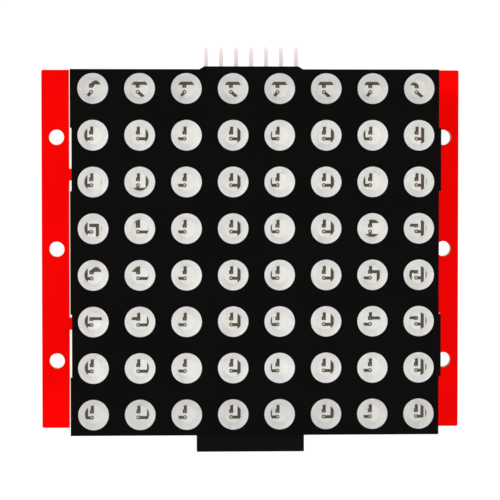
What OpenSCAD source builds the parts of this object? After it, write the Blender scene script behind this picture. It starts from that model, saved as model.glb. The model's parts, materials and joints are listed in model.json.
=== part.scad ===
// LED dot matrix module: an 8 by 8 display plugged onto its driver board.
// It lies on its back. +Z is the way the dots face, +Y points to the pin header at the board's top edge.
// The origin is the centre of the mounting holes, on the back face of the driver board.
// Rows are counted down from the top edge and columns from the left edge, both from 0.

/* [Dots] */
// Spacing of the dots, both ways
dot_pitch = 7.62; // [7.3:0.02:9]
// Diameter of each dot on the face
dot_d = 5; // [4:0.1:5.6]
// Diameter of the floor of each light cup
window_d = 2.9; // [2.4:0.1:3.2]
// Depth of each light cup, below the black layer
cup_depth = 1.65; // [1.4:0.05:3]
// How far the dots as a whole sit to the right of the housing's middle
dots_right = 0.22; // [-0.3:0.02:0.3]
// How far the dots as a whole sit above the housing's middle
dots_up = 0.14; // [-0.3:0.02:0.3]

/* [Housing] */
// How far the face stops short of the dots' own square, at the left and right
side_margin = 0.3; // [0.2:0.02:0.8]
// How far the face stops short of the dots' own square, at the top and bottom
end_margin = 0.53; // [0.2:0.01:0.8]
// Thickness of the black layer on the face
mask_t = 0.15; // [0.1:0.05:0.3]
// Thickness of the front plate over the core pockets
front_plate_t = 1; // [0.8:0.1:1.2]
// Diameter of the core pockets between the cups
core_d = 3; // [2:0.1:3.2]
// Thickness of the side walls
skirt_t = 1.2; // [0.8:0.1:1.6]
// How far the side walls stand behind the potting
rim_h = 0.4; // [0.2:0.1:1]
// Length of each tiling tab on the right edge
tab_len = 10.3; // [6:0.1:14]
// How far the tiling tabs stand out
tab_out = 0.35; // [0.2:0.05:0.6]
// Depth of the notches on the left edge
notch_depth = 0.25; // [0.2:0.05:0.6]

/* [Chip board] */
// Thickness of the chip board
chip_board_t = 1; // [0.6:0.1:1.6]
// Thickness of the copper on it
copper_t = 0.05; // [0.03:0.01:0.1]
// Width of a copper track
track_w = 0.52; // [0.4:0.02:0.6]
// Side of an LED die
die_w = 0.3; // [0.2:0.02:0.4]
// Height of an LED die
die_h = 0.2; // [0.1:0.02:0.3]
// Thickness of the potting behind the chip board
potting_t = 5.35; // [3:0.05:7]

/* [Display pins] */
// Side of a display pin
display_pin_w = 0.5; // [0.4:0.02:0.64]
// How far the display pins reach below the potting
display_pin_reach = 4.5; // [3:0.1:5.5]
// How far the display pins stand through the chip board
display_pin_head = 0.4; // [0.2:0.05:0.6]

/* [Driver board] */
// Width of each side rail with mounting holes
rail_w = 5.08; // [4.6:0.02:8]
// Thickness of the driver board
board_t = 1.6; // [1:0.1:2.4]
// Corner radius of the driver board
board_corner_r = 0.3; // [0.2:0.1:1]
// Diameter of the mounting holes
hole_d = 2.6; // [2.2:0.1:3.2]
// Distance from the board's side edges to the mounting holes' centres
hole_inset = 2.54; // [2.1:0.02:2.8]
// Spacing of the mounting holes along the side edges
hole_pitch = 19.05; // [15:0.05:24]
// Width of the milled slots
slot_w = 1.6; // [1:0.1:2.4]
// Distance from the board's side edges to the slots
slot_inset = 4.66; // [4.4:0.02:5.2]
// Width of the bridges left across the slots
bridge_w = 2.04; // [1.5:0.02:4]
// Distance of the bridges from the board's middle
bridge_y = 12.7; // [6:0.1:13.5]
// Diameter of the plated holes for pins
lead_hole_d = 1; // [0.94:0.02:1.2]

/* [Connectors] */
// Pitch of every pin and contact
pin_pitch = 2.54; // [2.4:0.02:2.6]
// Side of a header pin
pin_w = 0.64; // [0.5:0.02:0.66]
// Width of a connector's plastic body across its pins
body_w = 2.54; // [2.3:0.02:2.8]
// How far the tails reach below the driver board
tail_reach = 1.3; // [1:0.1:2]
// Height of the strip sockets that carry the display
strip_h = 8.5; // [7.8:0.1:11]
// Depth of the outlet socket from its mouth to its back
outlet_depth = 8.5; // [7.5:0.1:9]
// How far the outlet socket stands out past the board
outlet_overhang = 3.92; // [2:0.02:5]
// How far the outlet socket sits to the left of the board's middle
outlet_left = 0.16; // [0:0.02:0.3]
// How far the header block stands out past the board
header_overhang = 0.52; // [0:0.02:1.5]
// How far the header pins stand out of their block
header_pin_reach = 3.3; // [2:0.1:9]
// Distance from the header block's back to the pins' tails
header_tail_gap = 1.5; // [1.2:0.05:1.9]
// Thickness of a contact leaf
leaf_t = 0.2; // [0.15:0.01:0.25]

/* [Parts on the driver board] */
// Length of the driver chip
chip_len = 15.4; // [14.6:0.1:17]
// Width of the driver chip's body
chip_w = 7.5; // [5.3:0.1:8]
// Thickness of the driver chip's body
chip_t = 2.35; // [1.5:0.05:2.6]
// Width over the driver chip's leads
chip_span = 10.3; // [9:0.1:11]
// Diameter of the supply capacitor
can_d = 5; // [4:0.1:6.3]
// Height of the supply capacitor's can
can_h = 4.2; // [3:0.1:5]

/* [Hidden] */

$fn = 48;
eps = 0.5; // how far a cutting shape runs past the surface that it cuts
diagonal = sqrt(2); // of a square, over its side

side_dots = 8; // dots along each side, and pins in each row
ways = 7; // of the inlet header and the outlet socket
last = side_dots - 1;

// Heights, from the driver board's back face up
seat_z = board_t + strip_h;
chip_board_z = seat_z + potting_t;
copper_z = chip_board_z + chip_board_t;
cup_z = copper_z + copper_t;
mask_z = cup_z + cup_depth;
rim_z = seat_z - rim_h;
axis_z = board_t + body_w / 2;

// Plan sizes
chip_board_gap = 0.1; // round the chip board, inside the housing
grid_w = side_dots * dot_pitch;
face_w = grid_w - 2 * side_margin;
face_h = grid_w - 2 * end_margin;
cavity_w = face_w - 2 * skirt_t;
cavity_h = face_h - 2 * skirt_t;
chip_board_w = cavity_w - 2 * chip_board_gap;
chip_board_h = cavity_h - 2 * chip_board_gap;
board_w = grid_w + 2 * rail_w;
board_h = grid_w;
tab_y = 2 * dot_pitch;
pin_row_y = (side_dots / 2 - 1) * dot_pitch;
core_h = cup_depth - front_plate_t;
hole_x = board_w / 2 - hole_inset;

// Strip sockets
strip_end = 0.14; // plastic past the last way's own pitch, at each end
strip_len = side_dots * pin_pitch + 2 * strip_end;
entry_w = 0.8; // opening that lets a pin into a socket
entry_t = 0.8; // plastic round that opening
contact_gap = 0.3; // space at each end of a contact, inside its way
way_w = 1.2; // width of the space for each contact
way_h = 1.5; // its other width, across the leaves
contact_base_t = 0.4;
leaf_w = 0.9;

// Outlet socket and inlet header
outlet_mouth_y = -board_h / 2 - outlet_overhang;
outlet_back_y = outlet_mouth_y + outlet_depth;
outlet_tail_gap = 0.5; // from the outlet socket's back to the middle of its tails
outlet_tail_y = outlet_back_y + outlet_tail_gap;
outlet_end = 0.22; // plastic past the last way's own pitch, at each end
outlet_len = ways * pin_pitch + 2 * outlet_end;
outlet_strip_t = 0.3;
outlet_strip_w = 0.6;
header_front_y = board_h / 2 + header_overhang;
header_back_y = header_front_y - body_w;
header_tail_y = header_back_y - header_tail_gap;
header_tip_y = header_front_y + header_pin_reach;
header_corner = [0.9, 0.56]; // bevel on the header block's two front corners, along X and Y
pin_bend_r = 0.3; // inside radius of a header pin's bend
pin_point = 0.18; // how far each side of a header pin's point leans in

// Solder joints
joint_r = 0.85;
joint_h = 0.9;
joint_tip_r = 0.45;

// Copper pattern, from the middle of a dot
pad_x = [-0.64, 0]; // left and right edges of a die pad
pad_y = [0.13, 0.73]; // bottom and top edges of its wide part
neck_x = [-0.47, 0.04]; // left and right edges of the pad's upper part
bar_y = [0.24, 0.72]; // bottom and top edges of a track that leaves a pad sideways
bond_x = -0.3;
bond_y = -0.54;
bond_r = 0.33;
tail_y = [bond_y - 0.28, bond_y + 0.22]; // bottom and top edges of a bond pad's tail
clip_r = window_d / 2 + 0.2; // marks that end under the cup's wall run this far out
side_track_x = 1.27; // inner edge of a track that passes on a dot's right
die_x = -0.3;
die_y = 0.42;

function way_x(i, count) = (i - (count - 1) / 2) * pin_pitch;
function dot_x(col) = (col - last / 2) * dot_pitch + dots_right;
function dot_y(row) = (last / 2 - row) * dot_pitch + dots_up;

// Side on which a column's track passes its dots, -1 left or 1 right
function side(col) = col % 2 == 0 ? -1 : 1;

// Inner edge of a column's track, from the middle of the dot in one row
function track_inner(row, col) =
    col == 0 ? 0.92 :
    col == 1 ? (row < 3 ? 0.95 : row < 5 ? 1.4 : 1.12) :
    col == 2 ? 1.45 :
    col == 3 ? 0.73 :
    col == 4 ? 1.22 :
    col == 5 ? 0.83 :
    col == 6 ? (row < 3 ? 1.1 : 1.45) : 0.46;

module each_dot() {
    for (row = [0 : last], col = [0 : last])
        translate([dot_x(col), dot_y(row)])
            children();
}

module each_way(count) {
    for (i = [0 : count - 1])
        translate([way_x(i, count), 0])
            children();
}

// Solid from one corner to the opposite one
module block(low, high) {
    translate(low)
        cube(high - low);
}

// Rectangle from one corner to the opposite one
module patch(low, high) {
    translate(low)
        square(high - low);
}

// Square bar on the Z axis
module post(w, z0, z1) {
    block([-w / 2, -w / 2, z0], [w / 2, w / 2, z1]);
}

// ---- Display ----

module face_outline() {
    difference() {
        union() {
            square([face_w, face_h], center = true);
            for (s = [-1, 1])
                patch([0, s * tab_y - tab_len / 2], [face_w / 2 + tab_out, s * tab_y + tab_len / 2]);
        }
        for (s = [-1, 1])
            patch([-face_w, s * tab_y - tab_len / 2], [notch_depth - face_w / 2, s * tab_y + tab_len / 2]);
    }
}

module cup_cutter() {
    rotate_extrude()
        polygon([
            [0, -eps], [window_d / 2, -eps], [window_d / 2, 0],
            [dot_d / 2, cup_depth], [dot_d / 2, cup_depth + eps], [0, cup_depth + eps]
        ]);
}

// Moulded housing: light cups in front, core pockets between them, open box for the chip board behind
module display_housing() {
    color("white")
        difference() {
            translate([0, 0, rim_z])
                linear_extrude(mask_z - rim_z)
                    face_outline();
            block([-cavity_w / 2, -cavity_h / 2, rim_z - eps], [cavity_w / 2, cavity_h / 2, cup_z]);
            translate([0, 0, cup_z])
                each_dot()
                    cup_cutter();
            for (row = [1 : last], col = [1 : last])
                translate([dot_x(col) - dot_pitch / 2, dot_y(row) + dot_pitch / 2, cup_z - eps])
                    cylinder(d = core_d, h = core_h + eps);
            for (s = [-1, 1])
                translate([0, s * pin_row_y, cup_z - eps])
                    pin_groove();
        }
}

// Room for the ends of one row of display pins
module pin_groove() {
    groove_len = side_dots * pin_pitch;
    groove_w = 1.6;
    block([-groove_len / 2, -groove_w / 2, 0], [groove_len / 2, groove_w / 2, core_h + eps]);
}

module face_mask() {
    color([0.05, 0.05, 0.05])
        difference() {
            translate([0, 0, mask_z])
                linear_extrude(mask_t)
                    face_outline();
            translate([0, 0, mask_z - eps])
                each_dot()
                    cylinder(d = dot_d, h = mask_t + 2 * eps);
        }
}

// Clear epoxy in every cup, flush with the face
module light_fill() {
    color([0.9, 0.9, 0.88, 0.5])
        translate([0, 0, cup_z])
            each_dot()
                difference() {
                    rotate_extrude()
                        polygon([
                            [0, 0], [window_d / 2, 0], [dot_d / 2, cup_depth],
                            [dot_d / 2, cup_depth + mask_t], [0, cup_depth + mask_t]
                        ]);
                    translate([die_x, die_y])
                        post(die_w, -eps, die_h);
                }
}

module chip_board() {
    color([0.93, 0.93, 0.91])
        difference() {
            translate([0, 0, chip_board_z])
                linear_extrude(chip_board_t)
                    square([chip_board_w, chip_board_h], center = true);
            for (s = [-1, 1])
                translate([0, s * pin_row_y, chip_board_z - eps])
                    each_way(side_dots)
                        cylinder(d = display_pin_w * diagonal, h = chip_board_t + 2 * eps);
        }
}

module led_dies() {
    color([0.55, 0.35, 0.3])
        each_dot()
            translate([die_x, die_y])
                post(die_w, cup_z, cup_z + die_h);
}

// Die pad of one dot, with the tracks that leave it
module die_pad(row, col) {
    edge_dot = col == 0 || col == last;
    if (row == 0 && col == last) {
        corner_hook();
    } else if (row == 3 && col == 0) {
        patch([pad_x[0], bar_y[0]], [0.95, 0.8]);
        patch([0.95 - track_w, -clip_r], [0.95, 0.8]);
    } else {
        patch([pad_x[0], pad_y[0]], [pad_x[1], pad_y[1]]);
        if (col == 0 && (row == 0 || row == 4))
            hook_arm(row == 0 ? 0.67 : 0.55);
        else if (row == 0)
            patch([-dot_pitch / 2, 0.62], [dot_pitch / 2, 0.62 + track_w]);
        else if (edge_dot && row >= 3 && row <= 5)
            patch([col == 0 ? 0 : -clip_r, bar_y[0]], [col == 0 ? clip_r : 0, bar_y[1]]);
        else
            patch([neck_x[0], pad_y[0]], [neck_x[1], clip_r]);
    }
    if (row >= 3 && row <= 5 && col == 1)
        flag(row);
    if (row >= 3 && row <= 5 && col == last - 1)
        right_arm(row);
    if (row == 4 && col == last)
        patch([-clip_r, -clip_r], [-1.03, bar_y[1]]);
}

// Arm that leaves a pad of the first column and bends up to the right
module hook_arm(low) {
    polygon([
        [0, pad_y[0]], [low - 0.45, low - 0.15], [low - 0.3, low], [clip_r, low], [clip_r, 0.95], [0.8, 1.4],
        [0.4, 1.35], [0, 1.17], [-0.33, 0.88], [pad_x[0], 0.76], [pad_x[0], pad_y[0]]
    ]);
}

// Pad of the top right dot, with its arm to the left
module corner_hook() {
    polygon([
        [-0.59, 0.08], [0.05, 0.08], [0.05, 0.52], [-0.1, 0.76], [-0.38, 0.98], [-0.72, 1.06], [-1.05, 1],
        [-clip_r, 0.8], [-clip_r, 0.45], [-1, 0.62], [-0.67, 0.5], [-0.59, 0.4]
    ]);
}

// Tracks that leave the pads of the second column to the left
module flag(row) {
    wide = pad_x[0];
    neck = neck_x[0];
    if (row == 3)
        polygon([[-0.95, 0.92], [wide, 0.92], [wide, 0.6], [neck, 0.6], [neck, 1.36]]);
    else if (row == 4)
        polygon([[-1.43, 0.52], [neck, 0.52], [neck, 1.42], [-0.6, 1.3]]);
    else
        patch([-clip_r, bar_y[0]], [neck, bar_y[1]]);
}

// Tracks that leave the pads of the last column but one to the right
module right_arm(row) {
    low = row == 3 ? 0.85 : 0.21;
    down_x = 0.8;
    patch([0, low], [row == 4 ? down_x + track_w : clip_r, low + track_w]);
    if (row == 4)
        patch([down_x, -clip_r], [down_x + track_w, low + track_w]);
}

// Tracks that pass the dots of the outer columns on the right
module side_tracks() {
    for (run = [[0, 2, 3], [last, 2, last]])
        patch(
            [dot_x(run[0]) + side_track_x, dot_y(run[2]) - clip_r],
            [dot_x(run[0]) + side_track_x + track_w, dot_y(run[1]) + clip_r]
        );
}

module row_copper() {
    color([0.36, 0.33, 0.3])
        translate([0, 0, copper_z])
            linear_extrude(copper_t) {
                side_tracks();
                for (row = [0 : last], col = [0 : last])
                    translate([dot_x(col), dot_y(row)])
                        die_pad(row, col);
            }
}

// Bond pad of one dot and the tail that joins it to its column's track
module bond_pad(row, col) {
    tail_w = tail_y[1] - tail_y[0];
    tip = side(col) * (track_inner(row, col) + track_w / 2);
    dips = (row == 2 && col == 1) || (row == 3 && col == last - 1);
    translate([bond_x, bond_y]) {
        circle(r = bond_r);
        if (row == 0)
            rotate(col % 2 == 0 ? -128 : -40)
                patch([0, -tail_w / 2], [1.35, tail_w / 2]);
    }
    if (dips) {
        patch([bond_x - tail_w / 2, -1.2], [bond_x + tail_w / 2, bond_y]);
        patch([-clip_r, -0.96 - track_w], [clip_r, -0.96]);
    } else if (row > 0) {
        patch([min(tip, bond_x), tail_y[0]], [max(tip, bond_x), tail_y[1]]);
    }
}

// Track of one column, past the dots of every row but the first, with a round end
module column_track(col) {
    for (row = [1 : last]) {
        low = row == last ? tail_y[0] + track_w / 2 : -dot_pitch / 2;
        x = side(col) * (track_inner(row, col) + track_w / 2);
        translate([dot_x(col), dot_y(row)]) {
            patch([x - track_w / 2, low], [x + track_w / 2, dot_pitch / 2]);
            if (row == last)
                translate([x, low])
                    circle(d = track_w);
        }
    }
}

module column_copper() {
    color([0.36, 0.33, 0.3])
        translate([0, 0, copper_z])
            linear_extrude(copper_t)
                for (col = [0 : last]) {
                    column_track(col);
                    for (row = [0 : last])
                        translate([dot_x(col), dot_y(row)])
                            bond_pad(row, col);
                }
}

module potting_fill() {
    color([0.85, 0.85, 0.82])
        difference() {
            block([-cavity_w / 2, -cavity_h / 2, seat_z], [cavity_w / 2, cavity_h / 2, chip_board_z]);
            for (s = [-1, 1])
                translate([0, s * pin_row_y])
                    each_way(side_dots)
                        post(display_pin_w, seat_z - eps, chip_board_z + eps);
        }
}

module display_pins(s) {
    color([0.8, 0.8, 0.8])
        translate([0, s * pin_row_y])
            each_way(side_dots)
                post(display_pin_w, seat_z - display_pin_reach, copper_z + display_pin_head);
}

// ---- Driver board ----

module rounded_rect(w, h, r) {
    square([w - 2 * r, h], center = true);
    square([w, h - 2 * r], center = true);
    for (x = [-1, 1], y = [-1, 1])
        translate([x * (w / 2 - r), y * (h / 2 - r)])
            circle(r = r);
}

// One milled slot, in the stretches that its bridges leave
module slot_cuts() {
    x0 = board_w / 2 - slot_inset - slot_w;
    for (s = [-1, 1])
        patch([x0, min(s * (bridge_y + bridge_w / 2), s * board_h)],
              [x0 + slot_w, max(s * (bridge_y + bridge_w / 2), s * board_h)]);
    patch([x0, bridge_w / 2 - bridge_y], [x0 + slot_w, bridge_y - bridge_w / 2]);
}

module driver_board() {
    color([0.85, 0.02, 0.02])
        difference() {
            linear_extrude(board_t)
                difference() {
                    rounded_rect(board_w, board_h, board_corner_r);
                    slot_cuts();
                    mirror([1, 0])
                        slot_cuts();
                }
            for (x = [-1, 1], y = [-1, 0, 1])
                translate([x * hole_x, y * hole_pitch, -eps])
                    cylinder(d = hole_d, h = board_t + 2 * eps);
            for (s = [-1, 1])
                lead_holes(side_dots, s * pin_row_y);
            lead_holes(ways, header_tail_y);
            translate([-outlet_left, 0])
                lead_holes(ways, outlet_tail_y);
        }
}

module lead_holes(count, y) {
    translate([0, y, -eps])
        each_way(count)
            cylinder(d = lead_hole_d, h = board_t + 2 * eps);
}

// Contact with two leaves that grip a pin. It opens towards +Z and its base lies on the XY plane.
module fork(grip, leaf_len, base_h) {
    block([-way_w / 2, -way_h / 2, 0], [way_w / 2, way_h / 2, base_h]);
    for (s = [-1, 1])
        translate([0, s * (grip + leaf_t) / 2])
            block([-leaf_w / 2, -leaf_t / 2, 0], [leaf_w / 2, leaf_t / 2, leaf_len]);
}

module strip_socket(s) {
    color([0.06, 0.06, 0.06])
        translate([0, s * pin_row_y])
            difference() {
                block([-strip_len / 2, -body_w / 2, board_t], [strip_len / 2, body_w / 2, seat_z]);
                each_way(side_dots) {
                    block([-way_w / 2, -way_h / 2, board_t - eps], [way_w / 2, way_h / 2, seat_z - entry_t]);
                    post(entry_w, board_t, seat_z + eps);
                }
            }
}

module strip_contacts(s) {
    base_z = board_t + contact_gap;
    color([0.8, 0.75, 0.55])
        translate([0, s * pin_row_y])
            each_way(side_dots) {
                translate([0, 0, base_z])
                    fork(display_pin_w, seat_z - entry_t - base_z - contact_gap, contact_base_t);
                post(display_pin_w, -tail_reach, base_z);
            }
}

module header_outline() {
    half = ways * pin_pitch / 2;
    polygon([
        [-half, header_back_y], [half, header_back_y],
        [half, header_front_y - header_corner[1]], [half - header_corner[0], header_front_y],
        [header_corner[0] - half, header_front_y], [-half, header_front_y - header_corner[1]]
    ]);
}

module inlet_header_block() {
    color([0.06, 0.06, 0.06])
        difference() {
            translate([0, 0, board_t])
                linear_extrude(body_w)
                    header_outline();
            each_way(ways)
                block([-pin_w / 2, header_back_y - eps, axis_z - pin_w / 2],
                      [pin_w / 2, header_front_y + eps, axis_z + pin_w / 2]);
        }
}

// Long section of a header pin: point, straight run, bend and tail, in the plane of Y and Z
module pin_side() {
    h = pin_w / 2;
    r = pin_bend_r;
    corner = [header_tail_y + h + r, axis_z - h - r];
    patch([corner[0], axis_z - h], [header_tip_y - 2 * pin_point, axis_z + h]);
    polygon([
        [header_tip_y - 2 * pin_point, axis_z - h], [header_tip_y, axis_z - h + pin_point],
        [header_tip_y, axis_z + h - pin_point], [header_tip_y - 2 * pin_point, axis_z + h]
    ]);
    patch([header_tail_y - h, -tail_reach], [header_tail_y + h, corner[1]]);
    translate(corner)
        intersection() {
            difference() {
                circle(r = r + pin_w);
                circle(r = r);
            }
            patch([-2 * (r + pin_w), 0], [0, 2 * (r + pin_w)]);
        }
}

module inlet_pin(i) {
    color([0.85, 0.82, 0.8])
        translate([way_x(i - 1, ways), 0])
            rotate([90, 0, 90])
                translate([0, 0, -pin_w / 2])
                    linear_extrude(pin_w)
                        pin_side();
}

module outlet_socket_body() {
    color([0.06, 0.06, 0.06])
        translate([-outlet_left, outlet_mouth_y, axis_z])
            difference() {
                block([-outlet_len / 2, 0, -body_w / 2], [outlet_len / 2, outlet_depth, body_w / 2]);
                each_way(ways)
                    rotate([-90, 0, 0]) {
                        post(entry_w, -eps, entry_t + eps);
                        block([-way_w / 2, -way_h / 2, entry_t], [way_w / 2, way_h / 2, outlet_depth + eps]);
                    }
            }
}

module outlet_contact(i) {
    base_y = outlet_back_y - contact_gap;
    leaf_len = base_y - outlet_mouth_y - entry_t - contact_gap;
    half_t = outlet_strip_t / 2;
    half_w = outlet_strip_w / 2;
    color([0.8, 0.75, 0.55])
        translate([way_x(i - 1, ways) - outlet_left, 0]) {
            translate([0, base_y, axis_z])
                rotate([90, 0, 0])
                    fork(pin_w, leaf_len, contact_base_t);
            block([-half_w, base_y, axis_z - half_t], [half_w, outlet_tail_y + half_t, axis_z + half_t]);
            block([-half_w, outlet_tail_y - half_t, -tail_reach], [half_w, outlet_tail_y + half_t, axis_z]);
        }
}

// ---- Parts on the driver board ----

chip_gap = 0.15; // air under the driver chip
chip_bevel = 0.2; // how much each side of its body leans in
lead_pitch = 1.27;
leads_a_side = 12;
lead_t = 0.25;
lead_w = 0.41;
small_x = 14; // the resistor and the small capacitor
small_y = 3;
small_size = [2, 1.25]; // their length and width
can_x = -20;
can_y = 8;
can_base_w = can_d + 0.3;
can_base_h = 1.2;

// Side view of a moulded body whose sides lean in above and below its parting line
module moulded_section(w, h) {
    polygon([
        [-w / 2 + chip_bevel, 0], [w / 2 - chip_bevel, 0], [w / 2, h / 2],
        [w / 2 - chip_bevel, h], [-w / 2 + chip_bevel, h], [-w / 2, h / 2]
    ]);
}

module driver_chip_body() {
    color([0.1, 0.1, 0.1])
        translate([0, 0, board_t + chip_gap])
            difference() {
                intersection() {
                    rotate([90, 0, 0])
                        linear_extrude(chip_w, center = true)
                            moulded_section(chip_len, chip_t);
                    rotate([90, 0, 90])
                        linear_extrude(chip_len, center = true)
                            moulded_section(chip_w, chip_t);
                }
                translate([1.2 - chip_len / 2, 1.2 - chip_w / 2, chip_t - 0.1])
                    cylinder(d = 1, h = eps);
            }
}

// One lead: out of the parting line, down, and out along the board
module gull_wing() {
    mid = chip_gap + chip_t / 2;
    out = chip_w / 2 + 0.5;
    foot = chip_span / 2 - 0.75;
    tip = chip_span / 2;
    polygon([
        [chip_w / 2, mid + lead_t / 2], [out, mid + lead_t / 2], [foot + lead_t / 2, lead_t],
        [tip, lead_t], [tip, 0], [foot - lead_t / 2, 0], [out - lead_t, mid - lead_t / 2],
        [chip_w / 2 - chip_bevel * lead_t / chip_t, mid - lead_t / 2], [chip_w / 2, mid]
    ]);
}

module driver_chip_leads() {
    color([0.75, 0.75, 0.75])
        translate([0, 0, board_t])
            for (i = [0 : leads_a_side - 1], side = [0, 180])
                rotate(side)
                    translate([(i - (leads_a_side - 1) / 2) * lead_pitch, 0])
                        rotate([90, 0, 90])
                            translate([0, 0, -lead_w / 2])
                                linear_extrude(lead_w)
                                    gull_wing();
}

// Chip part with a metal cap on each end
module small_part(h) {
    len = small_size[0];
    w = small_size[1];
    cap = 0.4;
    rim = 0.03;
    block([-len / 2 + cap, -w / 2 + rim, rim], [len / 2 - cap, w / 2 - rim, h - rim]);
    for (s = [0, 1])
        mirror([s, 0, 0])
            block([len / 2 - cap, -w / 2, 0], [len / 2, w / 2, h]);
}

module current_set_resistor() {
    color([0.2, 0.2, 0.2])
        translate([small_x, small_y, board_t])
            small_part(0.55);
}

module bypass_capacitor() {
    color([0.6, 0.5, 0.4])
        translate([small_x, -small_y, board_t])
            small_part(0.9);
}

module can_lead_outline() {
    for (s = [0, 1])
        mirror([s, 0])
            patch([0.6, -0.3], [can_base_w / 2 + 0.4, 0.3]);
}

module bulk_capacitor_base() {
    c = can_base_w / 2;
    bevel = 0.9;
    color([0.1, 0.1, 0.1])
        translate([can_x, can_y, board_t])
            difference() {
                linear_extrude(can_base_h)
                    polygon([
                        [-c, -c], [c - bevel, -c], [c, bevel - c], [c, c - bevel], [c - bevel, c], [-c, c]
                    ]);
                translate([0, 0, -eps])
                    linear_extrude(eps + 0.2)
                        can_lead_outline();
            }
}

module bulk_capacitor_leads() {
    color([0.75, 0.75, 0.75])
        translate([can_x, can_y, board_t])
            linear_extrude(0.2)
                can_lead_outline();
}

module bulk_capacitor_can() {
    r = can_d / 2;
    color([0.8, 0.8, 0.82])
        translate([can_x, can_y, board_t + can_base_h])
            rotate_extrude()
                polygon([
                    [0, 0], [r - 0.2, 0], [r, 0.2], [r, 0.6], [r - 0.3, 0.8], [r - 0.3, 1], [r, 1.2],
                    [r, can_h - 0.3], [r - 0.3, can_h], [0, can_h]
                ]);
}

// Cones of solder round a row of tails
module solder_joints(count, y, tail_x, tail_y) {
    color([0.78, 0.78, 0.8])
        translate([0, y])
            each_way(count)
                difference() {
                    translate([0, 0, -joint_h])
                        cylinder(r1 = joint_tip_r, r2 = joint_r, h = joint_h);
                    block([-tail_x / 2, -tail_y / 2, -joint_h - eps], [tail_x / 2, tail_y / 2, eps]);
                }
}

display_housing();
face_mask();
light_fill();
chip_board();
row_copper();
column_copper();
led_dies();
potting_fill();
display_pins(1);  // upper_display_pins
display_pins(-1);  // lower_display_pins
driver_board();
strip_socket(1);  // upper_strip_socket
strip_socket(-1);  // lower_strip_socket
strip_contacts(1);  // upper_socket_contacts
strip_contacts(-1);  // lower_socket_contacts
inlet_header_block();
for (i = [1 : ways])
    inlet_pin(i);
outlet_socket_body();
for (i = [1 : ways])
    outlet_contact(i);
driver_chip_body();
driver_chip_leads();
current_set_resistor();
bypass_capacitor();
bulk_capacitor_base();
bulk_capacitor_can();
bulk_capacitor_leads();
union() {  // display_solder_joints
    for (s = [-1, 1])
        solder_joints(side_dots, s * pin_row_y, display_pin_w, display_pin_w);
}
solder_joints(ways, header_tail_y, pin_w, pin_w);  // inlet_solder_joints
union() {  // outlet_solder_joints
    translate([-outlet_left, 0])
        solder_joints(ways, outlet_tail_y, outlet_strip_w, outlet_strip_t);
}
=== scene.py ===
# %% [markdown]
# # An LED dot matrix module
# The module is two boards in a stack. In front is an 8 by 8 display: a white moulding with 64 light
# cups, a black layer printed on its face, and clear epoxy in every cup. Behind it is a red driver
# board that carries two strip sockets, a driver chip, a bent pin header and a socket.
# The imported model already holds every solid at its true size, so this script loads it as a fixed
# frame, gives each solid its finish, and adds what is too fine for the solids: the epoxy as a
# refracting body, the bond wires, tinned rings, solder round the leads, and tracks under the mask.

# %% The frame
import json
import math

import bmesh
import bpy
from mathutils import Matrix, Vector


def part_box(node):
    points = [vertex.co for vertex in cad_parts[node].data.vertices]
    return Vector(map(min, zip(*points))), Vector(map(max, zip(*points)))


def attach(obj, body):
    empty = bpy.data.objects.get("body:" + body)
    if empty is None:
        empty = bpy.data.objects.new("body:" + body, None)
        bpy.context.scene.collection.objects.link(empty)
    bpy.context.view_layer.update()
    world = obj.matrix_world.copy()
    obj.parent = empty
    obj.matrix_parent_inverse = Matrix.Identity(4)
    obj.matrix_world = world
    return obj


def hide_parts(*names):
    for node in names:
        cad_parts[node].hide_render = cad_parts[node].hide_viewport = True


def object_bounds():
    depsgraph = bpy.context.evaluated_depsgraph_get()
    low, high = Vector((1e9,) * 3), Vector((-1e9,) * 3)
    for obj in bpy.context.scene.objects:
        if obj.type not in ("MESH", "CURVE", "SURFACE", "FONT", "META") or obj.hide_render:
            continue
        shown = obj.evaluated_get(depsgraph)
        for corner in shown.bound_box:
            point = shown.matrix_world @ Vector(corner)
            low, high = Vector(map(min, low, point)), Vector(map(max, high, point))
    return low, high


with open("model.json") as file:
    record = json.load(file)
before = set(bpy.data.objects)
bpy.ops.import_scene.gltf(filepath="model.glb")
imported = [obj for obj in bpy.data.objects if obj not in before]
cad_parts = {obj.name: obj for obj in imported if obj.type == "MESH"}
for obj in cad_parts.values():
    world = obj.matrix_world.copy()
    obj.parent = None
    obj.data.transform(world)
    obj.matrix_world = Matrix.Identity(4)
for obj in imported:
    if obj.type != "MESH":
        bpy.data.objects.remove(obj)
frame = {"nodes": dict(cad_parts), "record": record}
cad_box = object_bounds()

MM = 0.001
scene = bpy.context.scene
part = frame["nodes"]
print("solids in the frame:", len(part))

# %% [markdown]
# ## Camera
# The module lies on its back and the camera looks almost straight down from a little above and to
# the left of the middle. A long lens keeps the two boards nearly the same size, as in a catalogue
# picture. The camera is placed first, so that every later step can be judged through it.

# %% Camera
LENS = 167.9
CAMERA_AT = (-17.121, 14.630, 399.032)
CAMERA_TILT = (-2.131, -2.449, -0.013)

camera_data = bpy.data.cameras.new("Camera")
camera_data.lens = LENS
camera_data.sensor_width = 36
camera_data.clip_start = 0.01
camera_data.clip_end = 20
camera = bpy.data.objects.new("Camera", camera_data)
camera.location = Vector(CAMERA_AT) * MM
camera.rotation_euler = [math.radians(a) for a in CAMERA_TILT]
scene.collection.objects.link(camera)
scene.camera = camera
scene.view_settings.view_transform = "Standard"
print("camera height in mm:", CAMERA_AT[2])

# %% [markdown]
# ## Shader helpers
# Every finish below is a Principled shader with its colour, roughness and bump driven by noise on
# Object coordinates. Those are the same metres as the mesh, so a grain size in millimetres can be
# written down directly: `grain` turns it into a noise scale. One short helper per job keeps each
# finish readable, and a value that doesn't vary stays on the shader's own socket.

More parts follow.
